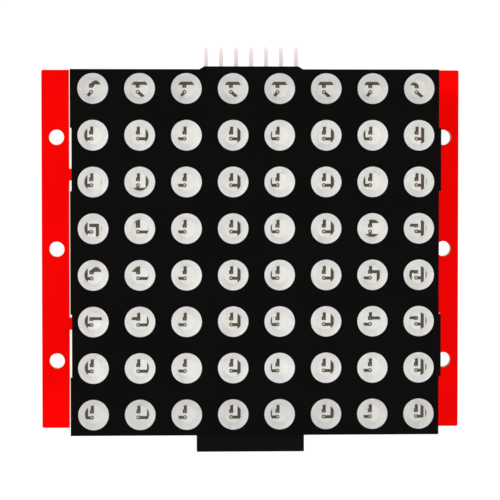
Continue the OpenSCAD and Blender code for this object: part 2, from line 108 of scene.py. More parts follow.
# %% Shader helpers
def new_finish(name):
    """An empty Principled material: (material, node tree, shader, object coordinates)."""
    made = bpy.data.materials.new(name)
    made.use_nodes = True
    tree = made.node_tree
    place = tree.nodes.new("ShaderNodeTexCoord").outputs["Object"]
    return made, tree, tree.nodes["Principled BSDF"], place


def grain(tree, place, size, detail=3.0, rough=0.55):
    """Noise whose blotches are about `size` millimetres across."""
    noise = tree.nodes.new("ShaderNodeTexNoise")
    noise.inputs["Scale"].default_value = 1 / (size * MM)
    noise.inputs["Detail"].default_value = detail
    noise.inputs["Roughness"].default_value = rough
    tree.links.new(place, noise.inputs["Vector"])
    return noise.outputs["Fac"]


def between(tree, value, low, high, start=0.3, end=0.7):
    """Stretches a 0 to 1 value over the range from low to high."""
    spread = tree.nodes.new("ShaderNodeMapRange")
    for label, number in (("From Min", start), ("From Max", end), ("To Min", low), ("To Max", high)):
        spread.inputs[label].default_value = number
    tree.links.new(value, spread.inputs["Value"])
    return spread.outputs["Result"]


def two_tones(tree, value, dark, light, start=0.3, end=0.7):
    """A colour that runs from dark to light as value goes from start to end."""
    ramp = tree.nodes.new("ShaderNodeValToRGB")
    low, high = ramp.color_ramp.elements
    low.position, high.position = start, end
    low.color, high.color = (*dark, 1), (*light, 1)
    tree.links.new(value, ramp.inputs["Fac"])
    return ramp.outputs["Color"]


def relief(tree, value, height, strength=1.0, under=None):
    """Bump of `height` millimetres made from a value."""
    bump = tree.nodes.new("ShaderNodeBump")
    bump.inputs["Distance"].default_value = height * MM
    bump.inputs["Strength"].default_value = strength
    tree.links.new(value, bump.inputs["Height"])
    if under is not None:
        tree.links.new(under, bump.inputs["Normal"])
    return bump.outputs["Normal"]


def tone(colour, factor):
    return tuple(min(1.0, c * factor) for c in colour)


def surface(name, colour, rough, metal=0.0, gloss=0.5, vary=0.06, blotch=1.5, fine=0.12, depth=0.004):
    """A mottled finish: broad tone changes, a fine grain in the bump, and roughness that follows it."""
    made, tree, shader, place = new_finish(name)
    broad = grain(tree, place, blotch)
    close = grain(tree, place, fine)
    tree.links.new(two_tones(tree, broad, tone(colour, 1 - vary), tone(colour, 1 + vary)),
                   shader.inputs["Base Color"])
    tree.links.new(between(tree, close, rough * 0.88, min(1.0, rough * 1.12)), shader.inputs["Roughness"])
    tree.links.new(relief(tree, close, depth), shader.inputs["Normal"])
    shader.inputs["Metallic"].default_value = metal
    shader.inputs["Specular IOR Level"].default_value = gloss
    return made


print("shader helpers ready; the finest grain below is 0.04 mm")

# %% [markdown]
# ## Plain mouldings and metals
# Most pieces are one stuff all over: white reflector plastic, black connector plastic, tin plate,
# solder. They share `surface`, each with its own colour, grain size and depth of grain. The metals
# keep a part of their colour diffuse, because tin plate that has been handled is satin and not a
# mirror.

# %% Plain finishes
finishes = {
    "potting_resin": surface("Potting_resin", (0.70, 0.69, 0.62), 0.22, vary=0.05, blotch=6, fine=1.2,
                             depth=0.02),
    "led_die": surface("Led_die", (0.10, 0.055, 0.045), 0.3, vary=0.2, blotch=0.12, fine=0.04),
    "tinned_pin": surface("Tinned_pin", (0.72, 0.71, 0.69), 0.34, metal=0.75, vary=0.05, fine=0.15),
    "header_pin": surface("Header_pin", (0.95, 0.87, 0.84), 0.45, metal=0.15, vary=0.02, fine=0.15),
    "contact_metal": surface("Contact_metal", (0.70, 0.60, 0.36), 0.3, metal=0.9, vary=0.06, fine=0.2),
    "connector_black": surface("Connector_black", (0.0030, 0.0032, 0.0030), 0.5, gloss=0.05, vary=0.12,
                               fine=0.1, depth=0.006),
    "resistor_dark": surface("Resistor_dark", (0.02, 0.02, 0.022), 0.3, vary=0.2, blotch=0.4),
    "capacitor_tan": surface("Capacitor_tan", (0.34, 0.24, 0.15), 0.4, vary=0.08, blotch=0.4),
    "solder": surface("Solder", (0.66, 0.66, 0.67), 0.22, metal=0.9, vary=0.06, blotch=0.6, fine=0.3,
                      depth=0.012),
}
print("plain finishes:", len(finishes))

# %% [markdown]
# ## White reflector
# The moulding and the chip board behind it are white, and let a little light seep through. Cups in the
# middle get some of it back from their neighbours, and those in the first and last rows don't, so they
# look a shade greyer. That shade is painted: the white is darkened in the colour near those two edges.

# %% Colour by place
def blended(tree, factor, low, high):
    """A colour that goes from the socket low to the socket high as factor goes from 0 to 1."""
    blend = tree.nodes.new("ShaderNodeMix")
    blend.data_type = "RGBA"
    for socket, label in ((factor, "Factor"), (low, "A"), (high, "B")):
        tree.links.new(socket, blend.inputs[label])
    return blend.outputs["Result"]


def split(tree, vector):
    """The X, Y and Z sockets of a vector."""
    parts = tree.nodes.new("ShaderNodeSeparateXYZ")
    tree.links.new(vector, parts.inputs["Vector"])
    return parts.outputs


def distance(tree, value, middle=0.0):
    """How far a value lies from the middle, whichever the side."""
    gap = tree.nodes.new("ShaderNodeMath")
    gap.operation = "SUBTRACT"
    gap.inputs[1].default_value = middle
    tree.links.new(value, gap.inputs[0])
    plain = tree.nodes.new("ShaderNodeMath")
    plain.operation = "ABSOLUTE"
    tree.links.new(gap.outputs["Value"], plain.inputs[0])
    return plain.outputs["Value"]


print("helpers for a colour that depends on the place: blended, split, distance")

# %% White reflector
WHITE = (0.805, 0.805, 0.793)
BOARD_WHITE = (0.835, 0.825, 0.785)
# Painted shade: how far from the middle row, in mm, the white starts to darken and where it is darkest.
PAINTED_SHADE_FROM, PAINTED_SHADE_TO = 20.5, 25.5


def white_with_painted_edge_shade(name, colour, rough, fine):
    """A white finish with painted shade: it is darker towards the first and the last row of cups."""
    made, tree, shader, place = new_finish(name)
    from_middle = distance(tree, split(tree, place)["Y"])
    painted_shade_amount = between(tree, from_middle, 0, 1, PAINTED_SHADE_FROM * MM, PAINTED_SHADE_TO * MM)
    mottle = grain(tree, place, 3)
    inside = two_tones(tree, mottle, tone(colour, 0.985), tone(colour, 1.015))
    # Painted shade: the darker white used near the first and last rows.
    painted_shade_white = two_tones(tree, mottle, tone(colour, 0.90), tone(colour, 0.93))
    tree.links.new(blended(tree, painted_shade_amount, inside, painted_shade_white), shader.inputs["Base Color"])
    close = grain(tree, place, fine)
    tree.links.new(between(tree, close, rough * 0.88, rough * 1.12), shader.inputs["Roughness"])
    tree.links.new(relief(tree, close, 0.003), shader.inputs["Normal"])
    return made


finishes["housing_white"] = white_with_painted_edge_shade("Reflector_white", WHITE, 0.42, 0.12)
finishes["chip_board_white"] = white_with_painted_edge_shade("Chip_board_white", BOARD_WHITE, 0.35, 0.2)
print("white dims from", PAINTED_SHADE_FROM, "to", PAINTED_SHADE_TO, "mm from the middle row")

# %% [markdown]
# ## Dull copper
# The marks at the bottom of the cups are copper that has gone dull under the epoxy, and no two spots
# have gone the same brown: some lean to red and some to olive. Two browns are blended by a broad
# noise, and each has its own fine mottling. At the right of the first and the last column a track
# passes close to the cup's wall. Its colour is set by place: pale grey at its upper end, and darker
# and redder than the rest at its lower end.

# %% Dull copper
REDDISH = (0.070, 0.045, 0.029)
OLIVE = (0.058, 0.048, 0.030)
# The two tones of the track by the wall: pale grey for its upper end, dark red for its lower end.
TRACK_TOP_PALE = (0.46, 0.45, 0.43)
TRACK_FOOT_RED = (0.040, 0.014, 0.012)
FIRST_TRACK_X = -24.92
LAST_TRACK_X = 28.42
TRACK_REACH = 0.4

dull_copper, tree, shader, place = new_finish("Dull_copper")
at = split(tree, place)
mottle = grain(tree, place, 0.5)
tooth = grain(tree, place, 0.06)
red_or_olive = between(tree, grain(tree, place, 11, detail=1), 0, 1, 0.38, 0.62)
plain_copper = blended(tree, red_or_olive, two_tones(tree, mottle, tone(REDDISH, 0.84), tone(REDDISH, 1.16)),
                       two_tones(tree, mottle, tone(OLIVE, 0.84), tone(OLIVE, 1.16)))
# The track by the wall is pale grey at its upper end and darker and redder at its lower end.
upper_end = between(tree, at["Y"], 0, 1, -1 * MM, 1 * MM)
by_the_wall = blended(tree, upper_end, two_tones(tree, mottle, TRACK_FOOT_RED, tone(TRACK_FOOT_RED, 1.3)),
                      two_tones(tree, mottle, TRACK_TOP_PALE, tone(TRACK_TOP_PALE, 1.1)))
for track_x in (FIRST_TRACK_X, LAST_TRACK_X):
    on_track = between(tree, distance(tree, at["X"], track_x * MM), 1, 0, TRACK_REACH * MM,
                       (TRACK_REACH + 0.02) * MM)
    plain_copper = blended(tree, on_track, plain_copper, by_the_wall)
tree.links.new(plain_copper, shader.inputs["Base Color"])
tree.links.new(between(tree, tooth, 0.44, 0.56), shader.inputs["Roughness"])
tree.links.new(relief(tree, tooth, 0.004), shader.inputs["Normal"])
shader.inputs["Metallic"].default_value = 0.1
finishes["dull_copper"] = dull_copper
print("tracks by the wall at x =", FIRST_TRACK_X, "and", LAST_TRACK_X, "mm")

# %% [markdown]
# ## Black face
# The face is screen-printed with a dense matt black ink. Up close the ink has a very fine tooth and
# a few broader waves from the squeegee. It reflects almost nothing, so its specular level is low and
# its roughness high, and the tooth is in the bump.

# %% Black face
INK = (0.0021, 0.0016, 0.0015)

face_ink, tree, shader, place = new_finish("Face_ink")
tooth = grain(tree, place, 0.09, detail=2)
waves = grain(tree, place, 7, detail=2)
tree.links.new(two_tones(tree, waves, tone(INK, 0.86), tone(INK, 1.14)), shader.inputs["Base Color"])
tree.links.new(between(tree, tooth, 0.58, 0.74), shader.inputs["Roughness"])
tree.links.new(relief(tree, tooth, 0.006, under=relief(tree, waves, 0.02)), shader.inputs["Normal"])
shader.inputs["Specular IOR Level"].default_value = 0.03
finishes["mask_black"] = face_ink
print("ink reflects", INK[0], "of red light")

# %% [markdown]
# ## Red board
# The driver board is glass-fibre laminate under a red solder mask. The mask covers only the two broad
# faces, and every sawn or milled edge shows the bare laminate in thin layers. The surface normal
# tells the two apart: where it points up or down there is mask, elsewhere there is laminate.

# %% Red board
MASK_RED = (0.945, 0.0007, 0.0002)
LAMINATE = (0.84, 0.71, 0.48)


def red_mask(name, colour, edges):
    """Solder mask on the broad faces, and layered laminate on the sawn edges if edges is true."""
    made, tree, shader, place = new_finish(name)
    weave = grain(tree, place, 0.5, detail=4)
    broad = grain(tree, place, 12, detail=2)
    mask = two_tones(tree, broad, tone(colour, 0.96), tone(colour, 1.04))
    rough = between(tree, weave, 0.27, 0.36)
    shader.inputs["Specular IOR Level"].default_value = 0.05
    tree.links.new(relief(tree, weave, 0.004), shader.inputs["Normal"])
    if not edges:
        tree.links.new(mask, shader.inputs["Base Color"])
        tree.links.new(rough, shader.inputs["Roughness"])
        return made
    facing = split(tree, tree.nodes.new("ShaderNodeNewGeometry").outputs["Normal"])
    flat = between(tree, distance(tree, facing["Z"]), 0, 1, 0.45, 0.55)
    layers = tree.nodes.new("ShaderNodeMapping")
    layers.inputs["Scale"].default_value = (0.15, 0.15, 3)
    tree.links.new(place, layers.inputs["Vector"])
    plies = grain(tree, layers.outputs["Vector"], 0.6, detail=5)
    bare = two_tones(tree, plies, tone(LAMINATE, 0.7), tone(LAMINATE, 1.25))
    tree.links.new(blended(tree, flat, bare, mask), shader.inputs["Base Color"])
    tree.links.new(between(tree, flat, 0.8, 0.3, 0, 1), shader.inputs["Roughness"])
    return made


finishes["board_red"] = red_mask("Board_red", MASK_RED, True)
track_red = red_mask("Track_red", tone(MASK_RED, 0.8), False)
print("red finishes:", finishes["board_red"].name, track_red.name)

# %% [markdown]
# ## Driver chip and supply capacitor
# The chip's body is black moulding compound, a little grey because it is full of silica, with a
# sand-blasted tooth. The capacitor's can is drawn aluminium in a clear sleeve: its grain runs round
# it, so the noise is stretched along its axis.

# %% Chip and can
finishes["chip_black"] = surface("Moulding_compound", (0.016, 0.016, 0.017), 0.62, gloss=0.4, vary=0.1,
                                 blotch=2, fine=0.07, depth=0.01)

can_metal, tree, shader, place = new_finish("Drawn_aluminium")
drawn = tree.nodes.new("ShaderNodeMapping")
drawn.inputs["Scale"].default_value = (1, 1, 0.05)
tree.links.new(place, drawn.inputs["Vector"])
lines = grain(tree, drawn.outputs["Vector"], 0.08, detail=4)
tree.links.new(two_tones(tree, lines, (0.62, 0.62, 0.64), (0.78, 0.78, 0.80)), shader.inputs["Base Color"])
tree.links.new(between(tree, lines, 0.22, 0.38), shader.inputs["Roughness"])
tree.links.new(relief(tree, lines, 0.003), shader.inputs["Normal"])
shader.inputs["Metallic"].default_value = 1
finishes["can_aluminium"] = can_metal
print("finishes so far:", len(finishes))

# %% [markdown]
# ## Clear epoxy
# Light has to bend at the epoxy's surface for the marks below to look as near as they do, so the
# fill is glass with the refractive index of epoxy. Glass also stops a renderer from finding the
# lamps, which would leave the cups dark. So light that travels to or from the cup's walls passes
# straight through, dimmed by SHADE, and only what the camera or a reflection sees is bent.

# %% Clear epoxy
EPOXY_INDEX = 1.5
SHADE = 0.36

clear_epoxy, tree, shader, place = new_finish("Clear_epoxy")
ripple = grain(tree, place, 0.9, detail=2)
shader.inputs["Base Color"].default_value = (1, 0.995, 0.985, 1)
shader.inputs["Transmission Weight"].default_value = 1
shader.inputs["IOR"].default_value = EPOXY_INDEX
shader.inputs["Roughness"].default_value = 0.02
tree.links.new(relief(tree, ripple, 0.004), shader.inputs["Normal"])
clear = tree.nodes.new("ShaderNodeBsdfTransparent")
clear.inputs["Color"].default_value = (SHADE, SHADE, SHADE, 1)
path = tree.nodes.new("ShaderNodeLightPath")
blend = tree.nodes.new("ShaderNodeMixShader")
tree.links.new(path.outputs["Is Shadow Ray"], blend.inputs["Fac"])
tree.links.new(shader.outputs["BSDF"], blend.inputs[1])
tree.links.new(clear.outputs["BSDF"], blend.inputs[2])
tree.links.new(blend.outputs["Shader"], tree.nodes["Material Output"].inputs["Surface"])
finishes["clear_epoxy"] = clear_epoxy
print("epoxy passes", SHADE, "of a lamp's light at each surface")

# %% [markdown]
# ## Dressing the solids
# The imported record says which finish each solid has, so one loop hands them out. The solids' meshes
# stay as they are, and only their material slots change.

# %% Dressing the solids
for row in frame["record"]["subparts"]:
    mesh = part[row["node"]].data
    mesh.materials.clear()
    mesh.materials.append(finishes[row["material_slot"]])

# %% [markdown]
# ## Geometry Nodes helpers
# The module repeats nearly everything: 64 cups, 30 tinned holes, 24 leads. Each is modelled once, and
# a node tree sets copies on a grid. The tree has named inputs for its counts and spacings, turns each
# copy a little by a seeded random angle where asked, and ends in Realize Instances and Set Material,
# so that the result is ordinary geometry. `keep_mesh` evaluates a tree once and keeps only its mesh.

# %% Geometry Nodes helpers
def new_tree(name, inputs):
    """A Geometry Nodes tree with named inputs: (tree, input sockets, output socket)."""
    tree = bpy.data.node_groups.new(name, "GeometryNodeTree")
    tree.interface.new_socket("Geometry", in_out="OUTPUT", socket_type="NodeSocketGeometry")
    for label, kind in inputs.items():
        tree.interface.new_socket(label, in_out="INPUT", socket_type="NodeSocket" + kind)
    source = tree.nodes.new("NodeGroupInput")
    target = tree.nodes.new("NodeGroupOutput")
    return tree, source.outputs, target.inputs["Geometry"]


def step(tree, kind, settings=None, **links):
    """Adds a node. Underscores in a link's name stand for spaces in the socket's name."""
    node = tree.nodes.new(kind)
    for label, value in (settings or {}).items():
        if hasattr(node, label):
            setattr(node, label, value)
        else:
            node.inputs[label].default_value = value
    for label, socket in links.items():
        tree.links.new(socket, node.inputs[label.replace("_", " ")])
    return node


def finish_tree(tree, geometry, material, target):
    real = step(tree, "GeometryNodeRealizeInstances", Geometry=geometry)
    painted = step(tree, "GeometryNodeSetMaterial", Geometry=real.outputs["Geometry"], Material=material)
    tree.links.new(painted.outputs["Geometry"], target)


def keep_mesh(name, tree, values, on=None):
    """Runs a tree once and keeps its result as a plain mesh that rides on the module."""
    holder = bpy.data.objects.new("maker", on or bpy.data.meshes.new("maker"))
    scene.collection.objects.link(holder)
    grown = holder.modifiers.new("maker", "NODES")
    grown.node_group = tree
    for item in tree.interface.items_tree:
        if item.in_out == "INPUT":
            grown[item.identifier] = values[item.name]
    mesh = bpy.data.meshes.new_from_object(holder.evaluated_get(bpy.context.evaluated_depsgraph_get()))
    bpy.data.objects.remove(holder)
    mesh.name = name
    return add_piece(name, mesh)


def add_piece(name, mesh):
    piece = bpy.data.objects.new(name, mesh)
    scene.collection.objects.link(piece)
    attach(piece, "root")
    print(name, "faces:", len(mesh.polygons))
    return piece


print("Geometry Nodes helpers ready")


# %% The grid of copies
grid_tree, given, target = new_tree("Grid of copies", {
    "Shape": "Object", "Columns": "Int", "Rows": "Int", "Pitch X": "Float", "Pitch Y": "Float",
    "First": "Vector", "Turn": "Float", "Seed": "Int", "Material": "Material"})
step_x = step(grid_tree, "ShaderNodeCombineXYZ", X=given["Pitch X"])
step_y = step(grid_tree, "ShaderNodeCombineXYZ", Y=given["Pitch Y"])
row_line = step(grid_tree, "GeometryNodeMeshLine", Count=given["Columns"], Offset=step_x.outputs["Vector"])
column_line = step(grid_tree, "GeometryNodeMeshLine", Count=given["Rows"], Start_Location=given["First"],
                   Offset=step_y.outputs["Vector"])
all_rows = step(grid_tree, "GeometryNodeInstanceOnPoints", Points=column_line.outputs["Mesh"],
                Instance=row_line.outputs["Mesh"])
spots = step(grid_tree, "GeometryNodeRealizeInstances", Geometry=all_rows.outputs["Instances"])
back = step(grid_tree, "ShaderNodeMath", {"operation": "MULTIPLY"})
grid_tree.links.new(given["Turn"], back.inputs[0])
back.inputs[1].default_value = -1
low_turn = step(grid_tree, "ShaderNodeCombineXYZ", Z=back.outputs["Value"])
high_turn = step(grid_tree, "ShaderNodeCombineXYZ", Z=given["Turn"])
turns = step(grid_tree, "FunctionNodeRandomValue", {"data_type": "FLOAT_VECTOR"}, Seed=given["Seed"])
grid_tree.links.new(low_turn.outputs["Vector"], turns.inputs["Min"])
grid_tree.links.new(high_turn.outputs["Vector"], turns.inputs["Max"])
shape = step(grid_tree, "GeometryNodeObjectInfo", Object=given["Shape"])
copies = step(grid_tree, "GeometryNodeInstanceOnPoints", Points=spots.outputs["Geometry"],
              Instance=shape.outputs["Geometry"], Rotation=turns.outputs["Value"])
finish_tree(grid_tree, copies.outputs["Instances"], given["Material"], target)
print("grid tree nodes:", len(grid_tree.nodes))


# %% Using the grid, and shapes turned on a lathe
def grid_of(name, shape_mesh, columns, rows, pitch_x, pitch_y, first, material, turn=0.0, seed=1):
    """Copies of a mesh on a grid. Sizes are in millimetres, and first is the lowest corner's copy."""
    model = bpy.data.objects.new("model", shape_mesh)
    scene.collection.objects.link(model)
    piece = keep_mesh(name, grid_tree, {
        "Shape": model, "Columns": columns, "Rows": rows, "Pitch X": pitch_x * MM,
        "Pitch Y": pitch_y * MM, "First": Vector(first) * MM, "Turn": math.radians(turn), "Seed": seed,
        "Material": material})
    bpy.data.objects.remove(model)
    return piece


def lathed(profile, sides):
    """A closed mesh turned round Z from (radius, height) points in millimetres."""
    shape_mesh = bpy.data.meshes.new("lathed")
    form = bmesh.new()
    rings = []
    for radius, height in profile:
        if radius == 0:
            rings.append([form.verts.new((0, 0, height * MM))])
            continue
        corners = [2 * math.pi * i / sides for i in range(sides)]
        rings.append([form.verts.new((radius * MM * math.cos(a), radius * MM * math.sin(a), height * MM))
                      for a in corners])
    for low, high in zip(rings, rings[1:]):
        for i in range(sides):
            j = (i + 1) % sides
            loop = [low[i % len(low)], low[j % len(low)], high[j % len(high)], high[i % len(high)]]
            form.faces.new(list(dict.fromkeys(loop)))
    if len(rings[0]) > 1:
        for i in range(sides):
            j = (i + 1) % sides
            form.faces.new([rings[-1][i], rings[-1][j], rings[0][j], rings[0][i]])
    bmesh.ops.recalc_face_normals(form, faces=form.faces)
    form.to_mesh(shape_mesh)
    form.free()
    return shape_mesh

# %% [markdown]
# ## Epoxy in the cups
# The solid fills are plain plugs. What shows is one clear body that wets the cup's wall, so its sides
# run a hair into the white plastic and its foot spreads under the moulding, and no air gap glints
# between them. The top sank a little as it cured. It replaces the plain fills.

# %% Epoxy in the cups
DOTS = 8
fill_low, fill_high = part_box("light_fill")
dot_width = 5.0
FLOOR_R = 1.45
WET = 0.02
FOOT_R = 1.75
dot_pitch = ((fill_high.x - fill_low.x) / MM - dot_width) / (DOTS - 1)
first_dot = (fill_low.x / MM + dot_width / 2, fill_low.y / MM + dot_width / 2)
floor_z = fill_low.z / MM
rise = (fill_high.z - fill_low.z) / MM
print("dot pitch in mm:", round(dot_pitch, 3), "cup depth with the ink:", round(rise, 3))

plug = lathed([
    (0, -0.06), (FOOT_R, -0.06), (FOOT_R, 0.01), (FLOOR_R + WET, 0.01), (dot_width / 2 + WET, rise - 0.15),
    (dot_width / 2 + WET, rise - 0.012), (2.3, rise - 0.022), (1.7, rise - 0.034), (0.9, rise - 0.042),
    (0, rise - 0.045)], 48)
cup_epoxy = grid_of("cup_epoxy", plug, DOTS, DOTS, dot_pitch, dot_pitch, (*first_dot, floor_z), clear_epoxy)
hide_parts("light_fill")

# %% [markdown]
# ## Floor, world and lamps
# The floor is a plain pale sheet. Towards the camera it is mostly lit from within, which keeps it
# white without more light on the module, and a plain diffuse share keeps the module's soft shadow.
# The world is bright round the sides and dark overhead, where the camera stands, so that black
# plastic stays black and metal still has something bright to reflect. A large lamp at the left is
# the key light, and a weaker one at the right fills.

# %% Floor
stands_at = cad_box[0].z
GLOW, GLOW_SHARE = 1.08, 0.88

floor_finish, tree, shader, place = new_finish("Pale_sheet")
shader.inputs["Base Color"].default_value = (0.86, 0.86, 0.86, 1)
shader.inputs["Roughness"].default_value = 0.9
shader.inputs["Specular IOR Level"].default_value = 0.1
glow = tree.nodes.new("ShaderNodeEmission")
glow.inputs["Color"].default_value = (1, 1, 1, 1)
glow.inputs["Strength"].default_value = GLOW
path = tree.nodes.new("ShaderNodeLightPath")


def seen_directly(tree, path, share):
    """share where a camera, glossy or transmission ray looks, and 0 for the light that spreads."""
    total = path.outputs["Is Camera Ray"]
    for label in ("Is Glossy Ray", "Is Transmission Ray"):
        either = tree.nodes.new("ShaderNodeMath")
        either.operation = "MAXIMUM"
        tree.links.new(total, either.inputs[0])
        tree.links.new(path.outputs[label], either.inputs[1])
        total = either.outputs["Value"]
    part_of = tree.nodes.new("ShaderNodeMath")
    part_of.operation = "MULTIPLY"
    part_of.inputs[1].default_value = share
    tree.links.new(total, part_of.inputs[0])
    return part_of.outputs["Value"]


blend = tree.nodes.new("ShaderNodeMixShader")
tree.links.new(seen_directly(tree, path, GLOW_SHARE), blend.inputs["Fac"])
tree.links.new(shader.outputs["BSDF"], blend.inputs[1])
tree.links.new(glow.outputs["Emission"], blend.inputs[2])
tree.links.new(blend.outputs["Shader"], tree.nodes["Material Output"].inputs["Surface"])

sheet_mesh = bpy.data.meshes.new("Floor")
reach = 3.0
sheet_mesh.from_pydata([(x, y, stands_at) for x, y in
                        ((-reach, -reach), (reach, -reach), (reach, reach), (-reach, reach))],
                       [], [(0, 1, 2, 3)])
sheet_mesh.materials.append(floor_finish)
floor = bpy.data.objects.new("Floor", sheet_mesh)
scene.collection.objects.link(floor)
print("floor at z in mm:", round(stands_at / MM, 2))

# %% World
AMBIENT = 0.59

world = bpy.data.worlds.new("Studio")
scene.world = world
world.use_nodes = True
tree = world.node_tree
background = tree.nodes["Background"]
way = split(tree, tree.nodes.new("ShaderNodeTexCoord").outputs["Generated"])
walls = two_tones(tree, way["Z"], (1, 1, 1), (0.06, 0.06, 0.06), 0.5, 0.93)
tree.links.new(walls, background.inputs["Color"])
ambient = tree.nodes.new("ShaderNodeMapRange")
ambient.inputs["To Min"].default_value = AMBIENT
ambient.inputs["To Max"].default_value = 1.0
path = tree.nodes.new("ShaderNodeLightPath")
tree.links.new(seen_directly(tree, path, 1.0), ambient.inputs["Value"])
tree.links.new(ambient.outputs["Result"], background.inputs["Strength"])
print("ambient light:", AMBIENT)

# %% Lamps
LAMP_SIZE = 0.42


def add_lamp(name, at, power):
    lamp = bpy.data.lights.new(name, "AREA")
    lamp.shape = "SQUARE"
    lamp.size = LAMP_SIZE
    lamp.energy = power
    holder = bpy.data.objects.new(name, lamp)
    holder.location = at
    holder.rotation_euler = Vector(at).to_track_quat("Z", "Y").to_euler()
    scene.collection.objects.link(holder)
    return holder


add_lamp("Key", (-0.40, 0.12, 0.42), 3.0)
add_lamp("Fill", (0.42, -0.16, 0.40), 2.65)
print("lamps:", [lamp.name for lamp in bpy.data.lights])

# %% [markdown]
# ## Bond wires
# Every die is wired to its column's pad by one gold wire, thinner than a hair. It is a curve that
# rises from a ball on the die and comes down to a stitch in the middle of the pad, where a spot of
# bright silver shows. One wire is built by nodes and copied to all 64 dots, each turned a little.

# %% Bond wires
die_top = (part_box("led_dies")[1].z - fill_low.z) / MM
DIE_AT = (-0.30, 0.42)
PAD_AT = (-0.30, -0.54)

wire_tree, given, target = new_tree("Bond wire", {
    "Die": "Vector", "Crest": "Vector", "Pad": "Vector", "Wire radius": "Float", "Ball radius": "Float",
    "Stitch radius": "Float", "Material": "Material"})
arch = step(wire_tree, "GeometryNodeCurveQuadraticBezier", {"Resolution": 9}, Start=given["Die"],
            Middle=given["Crest"], End=given["Pad"])
round_wire = step(wire_tree, "GeometryNodeCurvePrimitiveCircle", {"Resolution": 5},
                  Radius=given["Wire radius"])
strand = step(wire_tree, "GeometryNodeCurveToMesh", {"Fill Caps": True}, Curve=arch.outputs["Curve"],
              Profile_Curve=round_wire.outputs["Curve"])
ball = step(wire_tree, "GeometryNodeMeshIcoSphere", {"Subdivisions": 1}, Radius=given["Ball radius"])
ball_there = step(wire_tree, "GeometryNodeTransform", {"Scale": (1, 1, 0.6)}, Geometry=ball.outputs["Mesh"],
                  Translation=given["Die"])
stitch = step(wire_tree, "GeometryNodeMeshIcoSphere", {"Subdivisions": 2}, Radius=given["Stitch radius"])
stitch_there = step(wire_tree, "GeometryNodeTransform", {"Scale": (1, 1, 0.3)},
                    Geometry=stitch.outputs["Mesh"], Translation=given["Pad"])
joined = step(wire_tree, "GeometryNodeJoinGeometry")
for piece in (strand, ball_there, stitch_there):
    wire_tree.links.new(piece.outputs[0], joined.inputs["Geometry"])
finish_tree(wire_tree, joined.outputs["Geometry"], given["Material"], target)

bond_metal = surface("Bond_metal", (0.56, 0.52, 0.46), 0.45, metal=0.25, vary=0.08, blotch=0.3, fine=0.05)
one_wire = keep_mesh("one_wire", wire_tree, {
    "Die": Vector((*DIE_AT, die_top)) * MM, "Crest": Vector((DIE_AT[0], 0.1, die_top + 0.5)) * MM,
    "Pad": Vector((*PAD_AT, 0.02)) * MM, "Wire radius": 0.015 * MM, "Ball radius": 0.05 * MM,
    "Stitch radius": 0.175 * MM, "Material": bond_metal})
wire_mesh = one_wire.data
bpy.data.objects.remove(one_wire)
bond_wires = grid_of("bond_wires", wire_mesh, DOTS, DOTS, dot_pitch, dot_pitch, (*first_dot, floor_z),
                     bond_metal, turn=2.5, seed=7)

# %% [markdown]
# ## Plated holes and solder
# Every pin stands in a plated hole: a tinned barrel with a land on both faces of the board. Behind
# the board each tail carries a small mound of solder. Solder wets the pin, so the mound's side is
# hollow and not a straight cone, and it replaces the plain cones of the solids. Both shapes are
# turned once and set out by the grid tree along the rows of pins.

# %% Plated holes and solder mounds
board_low, board_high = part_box("driver_board")
board_t = (board_high.z - board_low.z) / MM
LAND_R, BARREL_R, PLATE = 0.98, 0.5, 0.035
MOUND_R = 0.85

plated_hole = lathed([
    (BARREL_R - 0.03, -PLATE), (LAND_R, -PLATE), (LAND_R, 0.01), (BARREL_R + 0.02, 0.01),
    (BARREL_R + 0.02, board_t - 0.01), (LAND_R, board_t - 0.01), (LAND_R, board_t + PLATE),
    (BARREL_R - 0.03, board_t + PLATE)], 28)
mound = lathed([
    (0, -0.02), (MOUND_R, -0.02), (MOUND_R, -0.06), (0.69, -0.2), (0.56, -0.38), (0.48, -0.58), (0.44, -0.8),
    (0.36, -0.89), (0, -0.9)], 24)

for row_name, columns, rows in (("display", 8, 2), ("inlet", 7, 1), ("outlet", 7, 1)):
    low, high = (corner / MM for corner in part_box(row_name + "_solder_joints"))
    first = (low.x + MOUND_R, low.y + MOUND_R, 0)
    pitch_x = (high.x - low.x - 2 * MOUND_R) / (columns - 1)
    pitch_y = high.y - low.y - 2 * MOUND_R
    holes = grid_of(row_name + "_plated_holes", plated_hole, columns, rows, pitch_x, pitch_y, first,
                    finishes["tinned_pin"])
    mounds = grid_of(row_name + "_solder_mounds", mound, columns, rows, pitch_x, pitch_y, first,
                     finishes["solder"], turn=180, seed=columns + rows)
    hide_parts(row_name + "_solder_joints")

# %% [markdown]
# ## Solder round the surface parts
# Leads and end caps that stand on the board sit in flat beads of solder. A bead is a flattened ball,
# sunk to half its height in the board, so that only its upper half shows.

# %% Solder beads
def bead(width, length, height):
    """A flattened ball, with sizes over all in millimetres, and height above its middle."""
    ball = bpy.data.meshes.new("bead")
    form = bmesh.new()
    bmesh.ops.create_icosphere(form, subdivisions=3, radius=1)
    bmesh.ops.scale(form, vec=(width / 2 * MM, length / 2 * MM, height * MM), verts=form.verts)
    form.to_mesh(ball)
    form.free()
    return ball


